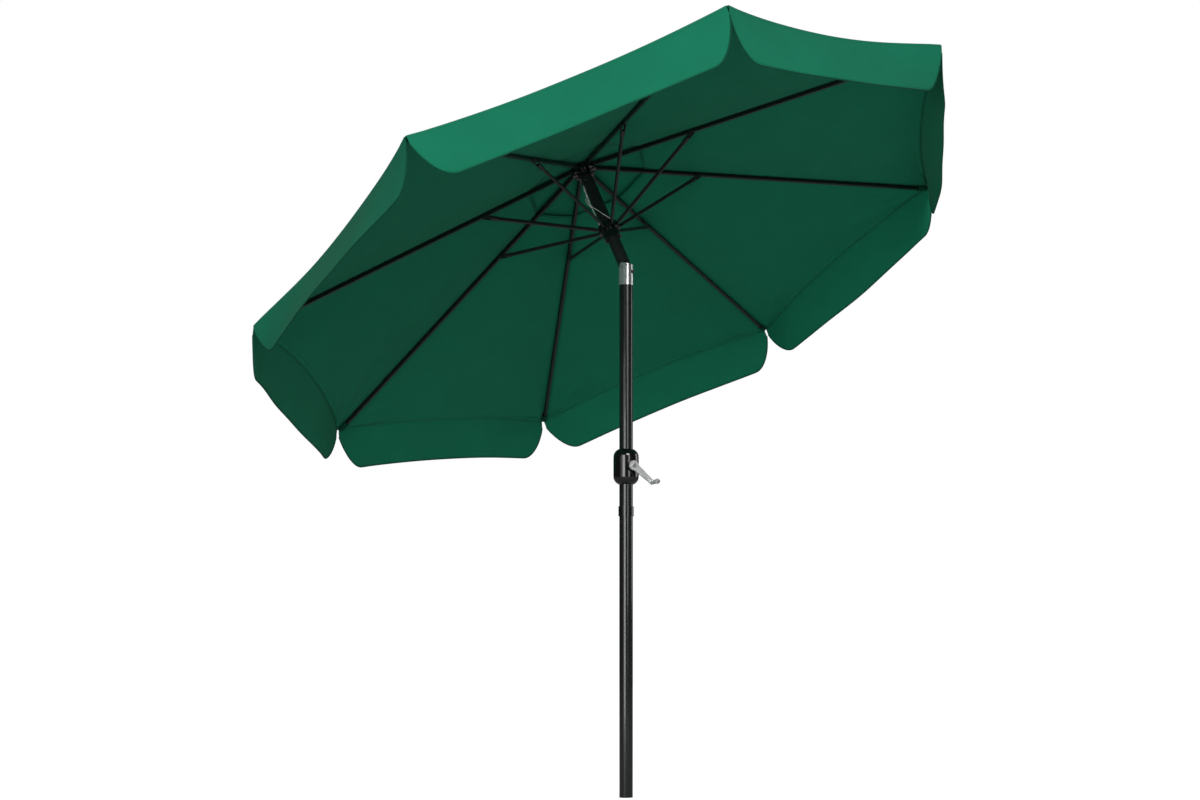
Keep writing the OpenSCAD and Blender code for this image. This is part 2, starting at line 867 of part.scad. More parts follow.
module canopy_panel(n) {
  color("#146a4b")
    on_gore(n) {
      gore_sheet(vent_hole, [for (i = [0 : flap_cols]) eave(i / flap_cols)]);
      translate([0, 0, vent_up]) gore_sheet(vent_in, [rib_line(vent_edge, -1), rib_line(vent_edge, 1)]);
      flap(n);
    }
}

lower_pole();
foot_plug();
joint_collar();
upper_pole();
pole_spigot();
crank_housing_front();
crank_housing_rear();
housing_screws();
brake_spring();
cord_in_pole();
tilt_sleeve();
tilt_fork();
tilt_pin();
button_spring();
crank_axle();
cord_drum();
crank_arm();
crank_nut();
grip_pin();
crank_grip();
tilt_button();
mast_tube();
tilt_insert();
top_hub();
hub_pins();
pulley_pin();
hub_pulley();
finial_stud();
canopy_washer();
finial();
cord_in_mast();
lift_cord();
runner();
runner_pins();
for (n = [1 : RIBS]) rib(n);
for (n = [1 : RIBS]) strut(n);
for (n = [1 : RIBS]) canopy_panel(n);
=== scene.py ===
"""Looks of a tilting patio umbrella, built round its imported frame. Metres, in the frame's own axes."""

import math

import bpy
import numpy as np
from mathutils import Matrix, Vector, noise


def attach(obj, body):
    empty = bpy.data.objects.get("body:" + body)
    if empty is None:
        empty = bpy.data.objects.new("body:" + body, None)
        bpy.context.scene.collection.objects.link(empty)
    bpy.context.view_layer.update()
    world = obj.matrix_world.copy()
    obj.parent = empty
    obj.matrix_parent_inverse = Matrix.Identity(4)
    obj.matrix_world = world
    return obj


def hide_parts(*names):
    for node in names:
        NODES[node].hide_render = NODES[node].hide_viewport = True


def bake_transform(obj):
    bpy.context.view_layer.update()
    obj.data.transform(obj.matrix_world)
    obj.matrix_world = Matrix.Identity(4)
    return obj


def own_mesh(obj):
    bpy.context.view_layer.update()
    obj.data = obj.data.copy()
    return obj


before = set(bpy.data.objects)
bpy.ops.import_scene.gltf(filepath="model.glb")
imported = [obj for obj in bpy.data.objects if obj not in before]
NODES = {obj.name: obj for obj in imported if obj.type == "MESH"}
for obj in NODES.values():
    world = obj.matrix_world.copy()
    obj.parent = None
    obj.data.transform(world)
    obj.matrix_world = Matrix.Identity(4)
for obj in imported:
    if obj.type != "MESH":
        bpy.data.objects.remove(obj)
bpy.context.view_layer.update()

# ---- the frame's own sizes ----

RIBS = 8
STEP = math.radians(45)
TILT = math.radians(26.4)
PIVOT_Z = 1.881
HUB_UP = 0.419
ROOT_R = 0.038
RIB_AZ = math.radians(7.2)
RIB_SLOPE = math.radians(15.4)
RIB_LEN = 1.322
CORNER_AT = 1.3358
CLOTH_UP = 0.0085
CLOTH_T = 0.0012
EAVE_SAG = 0.050
VALANCE_H = 0.155
EDGE_GAP = 0.0005
VENT_HOLE = 0.240
VENT_EDGE = 0.330
VENT_IN = 0.030
VENT_UP = 0.0035
FLAP_INSET = 0.1055
FLAP_START = 0.0015
FLARE = 0.025
FLARE_END = 0.25
FLAP_POWER = 0.65

LINE_R = ROOT_R + CLOTH_UP * math.sin(RIB_SLOPE)
APEX_Z = HUB_UP + CLOTH_UP * math.cos(RIB_SLOPE) + LINE_R * math.tan(RIB_SLOPE)
GORE_SLOPE = math.atan(math.tan(RIB_SLOPE) / math.cos(STEP / 2))
GORE_HALF = math.asin(math.cos(RIB_SLOPE) * math.sin(STEP / 2))
CORNER_D = CORNER_AT + LINE_R / math.cos(RIB_SLOPE)


def turn(angle, axis):
    return Matrix.Rotation(angle, 4, axis)


MAST = Matrix.Translation((0, 0, PIVOT_Z)) @ turn(-TILT, "Y")


def rib_dir(n):
    return RIB_AZ + (n - 1) * STEP


def on_rib(n):
    pin = Matrix.Translation((ROOT_R, 0, HUB_UP))
    return MAST @ turn(rib_dir(n), "Z") @ pin @ turn(RIB_SLOPE, "Y")


def on_gore(n):
    apex = Matrix.Translation((0, 0, APEX_Z))
    return MAST @ turn(rib_dir(n) + STEP / 2, "Z") @ apex @ turn(GORE_SLOPE, "Y")


def polar(radius_mm, degrees, up_mm):
    """A point near the mast, in the part's frame, from polar coordinates about the mast."""
    a = math.radians(degrees)
    return MAST @ (Vector((radius_mm * math.cos(a), radius_mm * math.sin(a), up_mm)) / 1000)


# ---- camera ----

cam_data = bpy.data.cameras.new("camera")
cam_data.lens = 55.1
cam_data.sensor_width = 36
cam_data.shift_x = -0.119
cam_data.shift_y = 0.202
cam_data.clip_end = 60
cam = bpy.data.objects.new("camera", cam_data)
bpy.context.scene.collection.objects.link(cam)
cam.location = (3.662, -5.422, 0.551)
cam.rotation_euler = Vector((-0.506, 0.8625, 0)).to_track_quat("-Z", "Y").to_euler()
bpy.context.scene.camera = cam
bpy.context.scene.view_settings.view_transform = "Standard"


# ---- materials ----


class Shader:
    """A Principled material and short ways to wire procedural detail into it."""

    def __init__(self, name, color, rough, metal=0.0):
        self.mat = bpy.data.materials.new(name)
        self.mat.use_nodes = True
        self.nt = self.mat.node_tree
        self.bsdf = self.nt.nodes["Principled BSDF"]
        self.bsdf.inputs["Base Color"].default_value = (*color, 1)
        self.bsdf.inputs["Roughness"].default_value = rough
        self.bsdf.inputs["Metallic"].default_value = metal
        self.color = color
        self.coords = self.add("ShaderNodeTexCoord").outputs["Object"]

    def add(self, kind, **fields):
        node = self.nt.nodes.new(kind)
        for k, v in fields.items():
            setattr(node, k, v)
        return node

    def link(self, a, b):
        self.nt.links.new(a, b)

    def math(self, op, a, b=None):
        node = self.add("ShaderNodeMath", operation=op)
        for i, v in enumerate((a, b)):
            if isinstance(v, (int, float)):
                node.inputs[i].default_value = v
            elif v is not None:
                self.link(v, node.inputs[i])
        return node.outputs[0]

    def noise(self, scale, detail=3.0, rough=0.5, stretch=(1, 1, 1), coords=None):
        mapping = self.add("ShaderNodeMapping")
        mapping.inputs["Scale"].default_value = stretch
        self.link(coords or self.coords, mapping.inputs["Vector"])
        tex = self.add("ShaderNodeTexNoise")
        tex.inputs["Scale"].default_value = scale
        tex.inputs["Detail"].default_value = detail
        tex.inputs["Roughness"].default_value = rough
        self.link(mapping.outputs[0], tex.inputs["Vector"])
        return tex.outputs["Fac"]

    def ramp(self, fac, stops):
        node = self.add("ShaderNodeValToRGB")
        elements = node.color_ramp.elements
        while len(elements) < len(stops):
            elements.new(0.5)
        for e, (at, value) in zip(elements, stops):
            e.position = at
            e.color = (*value, 1) if hasattr(value, "__len__") else (value, value, value, 1)
        self.link(fac, node.inputs["Fac"])
        return node.outputs["Color"]

    def mix(self, fac, a, b):
        node = self.add("ShaderNodeMix", data_type="RGBA")
        for socket, v in ((node.inputs[0], fac), (node.inputs[6], a), (node.inputs[7], b)):
            if isinstance(v, (int, float)):
                socket.default_value = v
            elif isinstance(v, tuple):
                socket.default_value = (*v, 1)
            else:
                self.link(v, socket)
        return node.outputs[2]

    def vary(self, fac, low, high):
        """Base colour between two multiples of the plain one."""

        def tint(k):
            return tuple(min(1, c * k) for c in self.color)

        out = self.ramp(fac, [(0.3, tint(low)), (0.7, tint(high))])
        self.link(out, self.bsdf.inputs["Base Color"])
        return out

    def rough_between(self, fac, low, high):
        self.link(self.ramp(fac, [(0.3, low), (0.7, high)]), self.bsdf.inputs["Roughness"])

    def bump(self, height, strength, distance):
        node = self.add("ShaderNodeBump")
        node.inputs["Strength"].default_value = strength
        node.inputs["Distance"].default_value = distance
        self.link(height, node.inputs["Height"])
        self.link(node.outputs["Normal"], self.bsdf.inputs["Normal"])

    def coat(self, weight, rough):
        self.bsdf.inputs["Coat Weight"].default_value = weight
        self.bsdf.inputs["Coat Roughness"].default_value = rough

    def lighten_sharp_edges(self, base, amount, color):
        """Lighter where the surface turns a sharp edge."""
        pointiness = self.add("ShaderNodeNewGeometry").outputs["Pointiness"]
        sharp_edge_mask = self.ramp(pointiness, [(0.53, 0.0), (0.60, amount)])
        self.link(self.mix(sharp_edge_mask, base, color), self.bsdf.inputs["Base Color"])


def make_pole_paint():
    s = Shader("pole_paint", (0.0030, 0.0060, 0.0050), 0.2)
    base = s.vary(s.noise(9, 4, 0.6, (1, 1, 0.25)), 0.85, 1.2)
    s.lighten_sharp_edges(base, 0.3, (0.04, 0.04, 0.04))
    s.rough_between(s.noise(40, 4, 0.6, (1, 1, 0.3)), 0.16, 0.24)
    s.bump(s.noise(1400, 2), 0.10, 0.0004)
    s.coat(0.5, 0.06)
    return s.mat


def make_frame_paint():
    s = Shader("frame_paint", (0.0030, 0.0050, 0.0042), 0.32)
    base = s.vary(s.noise(18, 4), 0.7, 1.3)
    s.lighten_sharp_edges(base, 0.3, (0.04, 0.04, 0.04))
    s.rough_between(s.noise(60, 4), 0.32, 0.46)
    s.bump(s.noise(1800, 2), 0.15, 0.0004)
    s.coat(0.25, 0.2)
    return s.mat


def make_black_gloss():
    s = Shader("black_gloss", (0.006, 0.006, 0.0065), 0.16)
    s.vary(s.noise(14, 3), 0.8, 1.2)
    s.rough_between(s.noise(35, 5), 0.11, 0.22)
    s.bump(s.noise(260, 2), 0.05, 0.0006)
    s.coat(0.6, 0.05)
    return s.mat


def make_black_matte():
    s = Shader("black_matte", (0.012, 0.012, 0.0125), 0.55)
    base = s.vary(s.noise(25, 4), 0.7, 1.4)
    s.lighten_sharp_edges(base, 0.5, (0.06, 0.06, 0.06))
    s.bump(s.noise(1500, 3, 0.7), 0.3, 0.0005)
    return s.mat


def make_bright():
    s = Shader("bright", (0.78, 0.79, 0.80), 0.12, 0.7)
    s.vary(s.noise(30, 3), 0.93, 1.03)
    s.rough_between(s.noise(90, 4, 0.6, (1, 1, 0.1)), 0.07, 0.2)
    s.bump(s.noise(900, 2, 0.5, (1, 1, 0.05)), 0.06, 0.0003)
    return s.mat


def make_steel():
    s = Shader("steel", (0.52, 0.53, 0.54), 0.34, 1.0)
    s.vary(s.noise(45, 4), 0.85, 1.1)
    s.rough_between(s.noise(120, 4), 0.26, 0.44)
    s.bump(s.noise(1100, 3), 0.12, 0.0003)
    return s.mat


def make_crank_cast():
    s = Shader("crank_cast", (0.74, 0.76, 0.76), 0.27, 0.35)
    s.vary(s.noise(40, 4), 0.85, 1.08)
    s.rough_between(s.noise(80, 5), 0.2, 0.36)
    s.bump(s.noise(420, 4, 0.6), 0.14, 0.0005)
    return s.mat


CLOTH_GREEN = (0.0085, 0.182, 0.0990)
YARN = 0.0009
STITCH_IN = 0.006
STITCH_LEN = 0.0036
STITCH_HALF_W = 0.0005
STITCH_SHARE = 0.72  # of each stitch's length that shows thread


def make_cloth(name="cloth", painted_shade_factor=1.0):
    """Woven polyester: a plain weave at its real pitch, soft slubs, and sewn lines beside its edges."""
    # The shade factor darkens the whole cloth; below 1 it gives painted shade.
    s = Shader(name, tuple(c * painted_shade_factor for c in CLOTH_GREEN), 0.82)
    uv = s.add("ShaderNodeUVMap", uv_map="flat").outputs[0]
    split = s.add("ShaderNodeSeparateXYZ")
    s.link(uv, split.inputs[0])
    k = 2 * math.pi / YARN
    warp = s.math("SINE", s.math("MULTIPLY", split.outputs[0], k))
    weft = s.math("SINE", s.math("MULTIPLY", split.outputs[1], k))
    weave = s.math("MULTIPLY_ADD", s.math("MULTIPLY", warp, weft), 0.5)
    slub = s.noise(1, 3, 0.6, (900, 25, 1), uv)
    cloudy = s.noise(5, 5, 0.6, (1, 1, 1), uv)
    base = s.vary(cloudy, 0.93, 1.07)
    fine = s.ramp(s.math("MULTIPLY_ADD", slub, 0.5), [(0.3, 0.0), (0.7, 0.16)])
    base = s.mix(fine, base, tuple(c * painted_shade_factor * 1.5 for c in CLOTH_GREEN))

    def stitches(edge, run):
        e = s.add("ShaderNodeAttribute", attribute_name=edge).outputs["Fac"]
        r = s.add("ShaderNodeAttribute", attribute_name=run).outputs["Fac"]
        near = s.math("LESS_THAN", s.math("ABSOLUTE", s.math("SUBTRACT", e, STITCH_IN)), STITCH_HALF_W)
        dash = s.math("LESS_THAN", s.math("FRACT", s.math("DIVIDE", r, STITCH_LEN)), STITCH_SHARE)
        return s.math("MULTIPLY", near, dash)

    sewn = s.math("MAXIMUM", stitches("seam_m", "seam_run"), stitches("hem_m", "hem_run"))
    base = s.mix(s.math("MULTIPLY", sewn, 0.75), base, tuple(c * 0.35 for c in CLOTH_GREEN))
    s.link(base, s.bsdf.inputs["Base Color"])
    height = s.math("SUBTRACT", s.math("MULTIPLY_ADD", weave, 0.35), s.math("MULTIPLY", sewn, 1.5))
    s.bump(height, 0.25, 0.0004)
    s.bsdf.inputs["Sheen Weight"].default_value = 0.03
    s.bsdf.inputs["Sheen Roughness"].default_value = 0.45
    s.bsdf.inputs["Specular IOR Level"].default_value = 0.08
    return s.mat


BRAID_PITCH = 0.0035


def make_cord():
    s = Shader("cord", (0.93, 0.93, 0.91), 0.7)
    uv = s.add("ShaderNodeUVMap", uv_map="flat").outputs[0]
    split = s.add("ShaderNodeSeparateXYZ")
    s.link(uv, split.inputs[0])
    around = s.math("MULTIPLY", split.outputs[0], 2 * math.pi * 3)
    along = s.math("MULTIPLY", split.outputs[1], 2 * math.pi / BRAID_PITCH)
    left = s.math("SINE", s.math("ADD", along, around))
    right = s.math("SINE", s.math("SUBTRACT", along, around))
    braid = s.math("MAXIMUM", left, right)
    # Darker between the strands: painted shade in the braid's grooves.
    s.vary(s.math("MULTIPLY_ADD", braid, 0.5), 0.72, 1.05)
    s.bump(braid, 0.6, 0.0004)
    return s.mat


MATERIAL = {
    "pole_paint": make_pole_paint(),
    "frame_paint": make_frame_paint(),
    "black_gloss": make_black_gloss(),
    "black_matte": make_black_matte(),
    "bright": make_bright(),
    "steel": make_steel(),
    "crank_cast": make_crank_cast(),
    "cloth": make_cloth(),
    "cord": make_cord(),
}
# A darker copy of the cloth for the rolled hem: a painted dark outline of shade along the flaps' free edge.
HEM_PAINTED_SHADE = make_cloth("hem", 0.42)
# A darker copy of the cloth for the rib pockets: painted shade at the rib tips.
POCKET_PAINTED_SHADE = make_cloth("pocket", 0.3)

FINISH = {
    "lower_pole": "pole_paint",
    "upper_pole": "pole_paint",
    "mast_tube": "frame_paint",
    "tilt_fork": "frame_paint",
    "tilt_insert": "frame_paint",
    "foot_plug": "black_matte",
    "joint_collar": "pole_paint",
    "cord_drum": "black_matte",
    "hub_pulley": "black_matte",
    "canopy_washer": "black_matte",
    "tilt_button": "black_matte",
    "crank_housing_front": "black_gloss",
    "crank_housing_rear": "black_gloss",
    "top_hub": "black_gloss",
    "runner": "black_gloss",
    "finial": "black_gloss",
    "tilt_sleeve": "bright",
    "crank_arm": "crank_cast",
    "crank_grip": "crank_cast",
    "cord_in_pole": "cord",
    "cord_in_mast": "cord",
}
for name, node in NODES.items():
    kind = FINISH.get(name) or ("frame_paint" if name.startswith(("rib_", "strut_")) else "steel")
    node.data.materials.clear()
    node.data.materials.append(MATERIAL[kind])


# ---- mesh helpers ----


def make_mesh(name, points, faces, material, uv=None, **attributes):
    """A mesh object in the part's frame. uv and the attributes hold one value per point."""
    mesh = bpy.data.meshes.new(name)
    mesh.from_pydata([tuple(p) for p in points], [], faces)
    mesh.update()
    if uv is not None:
        layer = mesh.uv_layers.new(name="flat")
        for loop in mesh.loops:
            layer.data[loop.index].uv = uv[loop.vertex_index]
    for key, values in attributes.items():
        mesh.attributes.new(key, "FLOAT", "POINT").data.foreach_set("value", np.array(values, np.float32))
    for p in mesh.polygons:
        p.use_smooth = True
    mesh.materials.append(material)
    o = bpy.data.objects.new(name, mesh)
    bpy.context.scene.collection.objects.link(o)
    return o


def grid_faces(cols, rows):
    return [
        (r * cols + c, r * cols + c + 1, (r + 1) * cols + c + 1, (r + 1) * cols + c)
        for r in range(rows - 1)
        for c in range(cols - 1)
    ]


def thicken(o, thickness, offset=1.0):
    m = o.modifiers.new("thickness", "SOLIDIFY")
    m.thickness = thickness
    m.offset = offset
    m.use_even_offset = False
    return o


def frames_along(path):
    """Tangent and two steady normals at each point of a path."""
    pts = [Vector(p) for p in path]
    tangents = [(pts[min(i + 1, len(pts) - 1)] - pts[max(i - 1, 0)]).normalized() for i in range(len(pts))]
    side = tangents[0].orthogonal().normalized()
    out = []
    for t in tangents:
        side = (side - t * side.dot(t)).normalized()
        out.append((t, side, t.cross(side)))
    return out


def tube_mesh(name, path, radii, material, sides=12, squash_by=1.0, across=None):
    """A closed tube round a path. across sets the wide direction of a flattened one."""
    pts = [Vector(p) for p in path]
    frames = frames_along(pts)
    length = [0.0]
    for a, b in zip(pts, pts[1:]):
        length.append(length[-1] + (b - a).length)
    verts, uv = [], []
    for i, (p, (t, a, b)) in enumerate(zip(pts, frames)):
        if across is not None:
            a = (across[i] - t * across[i].dot(t)).normalized()
            b = t.cross(a)
        r = radii[i] if hasattr(radii, "__len__") else radii
        for k in range(sides):
            ang = 2 * math.pi * k / sides
            verts.append(p + a * (r * math.cos(ang)) + b * (r * squash_by * math.sin(ang)))
            uv.append((k / sides, length[i]))
    faces = []
    for i in range(len(pts) - 1):
        for k in range(sides):
            n = (k + 1) % sides
            faces.append((i * sides + k, i * sides + n, (i + 1) * sides + n, (i + 1) * sides + k))
    faces.append(tuple(range(sides))[::-1])
    faces.append(tuple((len(pts) - 1) * sides + k for k in range(sides)))
    return make_mesh(name, verts, faces, material, uv)


def path_length(path):
    return sum((b - a).length for a, b in zip(path, path[1:]))


def smooth_path(points, steps):
    """A Catmull-Rom curve through the points."""
    p = [Vector(q) for q in points]
    p = [p[0] * 2 - p[1]] + p + [p[-1] * 2 - p[-2]]
    out = []
    for i in range(1, len(p) - 2):
        for s in range(steps):
            t = s / steps
            a, b, c, d = p[i - 1], p[i], p[i + 1], p[i + 2]
            squared = (2 * a - 5 * b + 4 * c - d) * t * t
            cubed = (3 * b - a - 3 * c + d) * t ** 3
            out.append(0.5 * ((2 * b) + (c - a) * t + squared + cubed))
    out.append(p[-2])
    return out


# ---- canopy ----

CLOTH_LIFT = CLOTH_T * 0.15  # the gores' middle surface above the plane of the ribs' cloth line
GORE_T = CLOTH_T * 0.7
FLAP_T = CLOTH_T * 0.6
SEAM_T = 0.0005
SEAM_FALL = math.tan(math.radians(6.28))  # slope of the cloth on each side of a rib
GORE_COLS = 57
GORE_ROWS = 64
FLAP_COLS = 97
FLAP_ROWS = 22


def rib_line(d, side):
    return Vector((d * math.cos(GORE_HALF), side * (d * math.sin(GORE_HALF) - EDGE_GAP), 0))


def edge_at(d, sag, t):
    """Across a gore at distance d from the apex, from its first rib to its second."""
    p = rib_line(d, -1).lerp(rib_line(d, 1), t)
    p.x -= sag * 4 * t * (1 - t)
    return p


def sag(n, t, v):
    """Height of a gore's cloth over the plane of its two ribs: t across, v from the apex to the eave."""
    belly = -0.014 * math.sin(math.pi * t) * (0.25 + 0.75 * math.sin(math.pi * min(1, v ** 0.9) * 0.72))
    width = 2 * CORNER_D * math.sin(GORE_HALF) * v
    edge = min(t, 1 - t) * width
    beside_seam = 0.0007 * math.exp(-edge / 0.016) * (1 - math.exp(-edge / 0.004))
    pucker = beside_seam * math.sin(2 * math.pi * v * 26 + n)
    from_corner = math.hypot(edge, (1 - v) * CORNER_D)
    angle = math.atan2(edge, (1 - v) * CORNER_D + 1e-6)
    near_corner = 0.0022 * math.exp(-((from_corner - 0.10) / 0.16) ** 2)
    fan = near_corner * math.sin(angle * 11 + n * 1.7 + (t > 0.5) * 2)
    fan *= min(1, edge / 0.05)
    soft = noise.noise(Vector((t * 2.6 + n * 7.1, v * 3.1, n * 3.3)))
    soft = 0.0035 * soft * math.sin(math.pi * t)
    return belly + pucker + fan + soft


def eave_point(n, t):
    p = edge_at(CORNER_D, EAVE_SAG, t)
    p.z = sag(n, t, 1.0)
    return p


def squash_panel(o):
    """Gives the piece a mesh of its own."""
    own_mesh(o)


def finish_panel_piece(o, n):
    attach(o, f"panel_{n}")
    squash_panel(o)


def spread_cols(count):
    return [i / (count - 1) for i in range(count)]


def gore(n):
    """The sewn gore between two ribs, from the vent opening to the eave."""
    to_row = on_gore(n)
    pts, uv, seam, hem, run = [], [], [], [], []
    for r in range(GORE_ROWS):
        f = r / (GORE_ROWS - 1)
        for t in spread_cols(GORE_COLS):
            inner, outer = edge_at(VENT_HOLE, 0, t), edge_at(CORNER_D, EAVE_SAG, t)
            p = inner.lerp(outer, f)
            v = (VENT_HOLE + (CORNER_D - VENT_HOLE) * f) / CORNER_D
            uv.append((p.y, p.x))
            seam.append(min(t, 1 - t) * 2 * abs(rib_line(v * CORNER_D, 1).y))
            hem.append((outer - p).length)
            run.append(v * CORNER_D)
            p.z = sag(n, t, v) + CLOTH_LIFT
            pts.append(to_row @ p)
    o = make_mesh(
        f"gore_{n}", pts, grid_faces(GORE_COLS, GORE_ROWS), MATERIAL["cloth"], uv,
        seam_m=seam, seam_run=run, hem_m=hem, hem_run=[q[0] for q in uv],
    )
    return thicken(o, GORE_T)


def vent_cap(n):
    """The small upper gore that covers the vent opening."""
    to_row = on_gore(n)
    cols, rows = 29, 24
    pts, uv, seam, hem, run = [], [], [], [], []
    for r in range(rows):
        f = r / (rows - 1)
        for t in spread_cols(cols):
            inner, outer = edge_at(VENT_IN, 0, t), edge_at(VENT_EDGE, 0.007, t)
            p = inner.lerp(outer, f)
            uv.append((p.y, p.x))
            seam.append(min(t, 1 - t) * 2 * abs(rib_line(VENT_EDGE * f, 1).y))
            hem.append((outer - p).length)
            run.append(p.x)
            lift = 0.0030 * math.sin(math.pi * t) * f ** 2
            wave = 0.0012 * f * math.sin(math.pi * t) * math.sin(5 * math.pi * t + n * 1.3)
            p.z = VENT_UP + CLOTH_LIFT + lift + wave
            pts.append(to_row @ p)
    o = make_mesh(
        f"vent_cap_{n}", pts, grid_faces(cols, rows), MATERIAL["cloth"], uv,
        seam_m=seam, seam_run=run, hem_m=hem, hem_run=[q[0] for q in uv],
    )
    return thicken(o, GORE_T)


def flap_fall(t):
    u = min(1, min(t, 1 - t) / FLAP_INSET)
    return math.sin(math.pi / 2 * u) ** FLAP_POWER


def hang(n):
    """Straight down the upright plane of the eave, and straight out of it, in the gore's frame."""
    up = on_gore(n).to_3x3().inverted() @ Vector((0, 0, 1))
    down = Vector((-up.x, 0, -up.z)).normalized()
    return down, Vector((-down.z, 0, down.x))


def flap_point(n, t, r, down, out):
    """A point of the flap: t along the eave, r from the seam to the hem."""
    reach = FLAP_START + 0.002 + (VALANCE_H - FLAP_START - 0.002) * flap_fall(t)
    drop = reach * r
    sway = (
        0.0042 * math.sin(2 * math.pi * (1.3 * t + 0.31 * n))
        + 0.0014 * math.sin(2 * math.pi * (3.1 * t + 0.17 * n * n))
        + 0.0020 * noise.noise(Vector((t * 3, drop * 5, n * 5.7)))
    )
    end = min(1, min(t, 1 - t) / 0.15)
    flare = FLARE * (FLARE_END + (1 - FLARE_END) * math.sin(math.pi * t))
    stand = (flare + EAVE_SAG * 4 * t * (1 - t)) * drop / VALANCE_H
    off = sway * (drop / VALANCE_H) ** 1.2 * end + stand + CLOTH_T * 0.5
    return eave_point(n, t) + down * drop + out * off, drop, reach


def flap_ts():
    return [0.004 + 0.992 * (1 - math.cos(math.pi * i / (FLAP_COLS - 1))) / 2 for i in range(FLAP_COLS)]


def valance(n):
    """The flap that hangs from a gore's eave, with rounded ends."""
    to_row = on_gore(n)
    down, out = hang(n)
    pts, uv, hem, run, seam = [], [], [], [], []
    turn_rows = [(-0.011, 0.0022), (-0.006, 0.0026), (-0.0022, 0.0026), (0.0004, 0.0016)]
    ts = flap_ts()
    for back, up in turn_rows:
        for t in ts:
            p = eave_point(n, t) + Vector((back, 0, up)) + out * (CLOTH_T * 0.5 if back > 0 else 0)
            pts.append(to_row @ p)
            uv.append((p.y, back))
            seam.append(1.0)
            hem.append(abs(back))
            run.append(p.y)
    for r in range(FLAP_ROWS):
        f = 0.015 + 0.985 * r / (FLAP_ROWS - 1)
        for t in ts:
            p, drop, reach = flap_point(n, t, f, down, out)
            pts.append(to_row @ p)
            uv.append((p.y, drop))
            seam.append(drop)
            hem.append(reach - drop)
            run.append(p.y)
    o = make_mesh(
        f"valance_{n}", pts, grid_faces(FLAP_COLS, FLAP_ROWS + len(turn_rows)), MATERIAL["cloth"], uv,
        seam_m=seam, seam_run=run, hem_m=hem, hem_run=run,
    )
    return thicken(o, FLAP_T, 0.0)


def flap_hem(n):
    """The rolled hem along the flap's free edge."""
    to_row = on_gore(n)
    down, out = hang(n)
    path, across = [], []
    for t in flap_ts():
        p, _, _ = flap_point(n, t, 1.0, down, out)
        path.append(to_row @ p)
        across.append(to_row.to_3x3() @ out)
    # Its cloth is darkened to 0.42 of the canopy's: painted shade along the hem.
    return tube_mesh(f"hem_{n}", path, 0.0016, HEM_PAINTED_SHADE, 8, 1.5, across)


def eave_tape(n):
    """The narrow band sewn inside the eave, over the raw edges."""
    to_row = on_gore(n)
    cols = 65
    pts, uv = [], []
    profile = ((-0.016, -0.0012), (-0.0155, -0.0018), (-0.001, -0.0018), (-0.0005, -0.0008))
    for back, low in profile:
        for t in spread_cols(cols):
            t = 0.012 + 0.976 * t
            p = eave_point(n, t) + Vector((back, 0, low + 0.0008))
            pts.append(to_row @ p)
            uv.append((p.y, back))
    o = make_mesh(f"eave_tape_{n}", pts, grid_faces(cols, len(profile)), MATERIAL["cloth"], uv)
    return thicken(o, 0.0004, 0.0)


def seam_tape(n, outside):
    """The flat-felled seam that joins two gores over a rib, inside or outside the canopy."""
    to_row = on_rib(n)
    rows = 90
    half = 0.0085 if outside else 0.0075
    level = CLOTH_UP + (CLOTH_T + 0.0006 if outside else -0.0009)
    start = VENT_HOLE - 0.03 if not outside else VENT_EDGE - 0.004
    pts, uv = [], []
    for r in range(rows):
        x = start + (CORNER_AT - 0.004 - start) * r / (rows - 1)
        for k in (-1, -0.96, -0.5, 0, 0.5, 0.96, 1):
            y = half * k
            z = level - abs(y) * SEAM_FALL
            if abs(k) == 1:
                z -= 0.0005 if outside else -0.0005
            z += 0.00025 * math.sin(x * 140 + n) * abs(k)
            pts.append(to_row @ Vector((x, y, z)))
            uv.append((y, x))
    name = f"seam_{'top' if outside else 'under'}_{n}"
    o = make_mesh(name, pts, grid_faces(7, rows), MATERIAL["cloth"], uv)
    return thicken(o, SEAM_T, 0.0)


def vent_seam(n):
    """The seam over a rib line on the vent cap."""
    to_row = on_rib(n)
    rows = 24
    pts, uv = [], []
    for r in range(rows):
        x = (VENT_EDGE - 0.039) * r / (rows - 1)
        for k in (-1, -0.5, 0, 0.5, 1):
            y = 0.006 * k
            edge_drop = 0.0004 if abs(k) == 1 else 0
            z = CLOTH_UP + VENT_UP + CLOTH_T + 0.0008 - abs(y) * SEAM_FALL - edge_drop
            pts.append(to_row @ Vector((x, y, z)))
            uv.append((y, x))
    o = make_mesh(f"vent_seam_{n}", pts, grid_faces(5, rows), MATERIAL["cloth"], uv)
    return thicken(o, SEAM_T, 0.0)


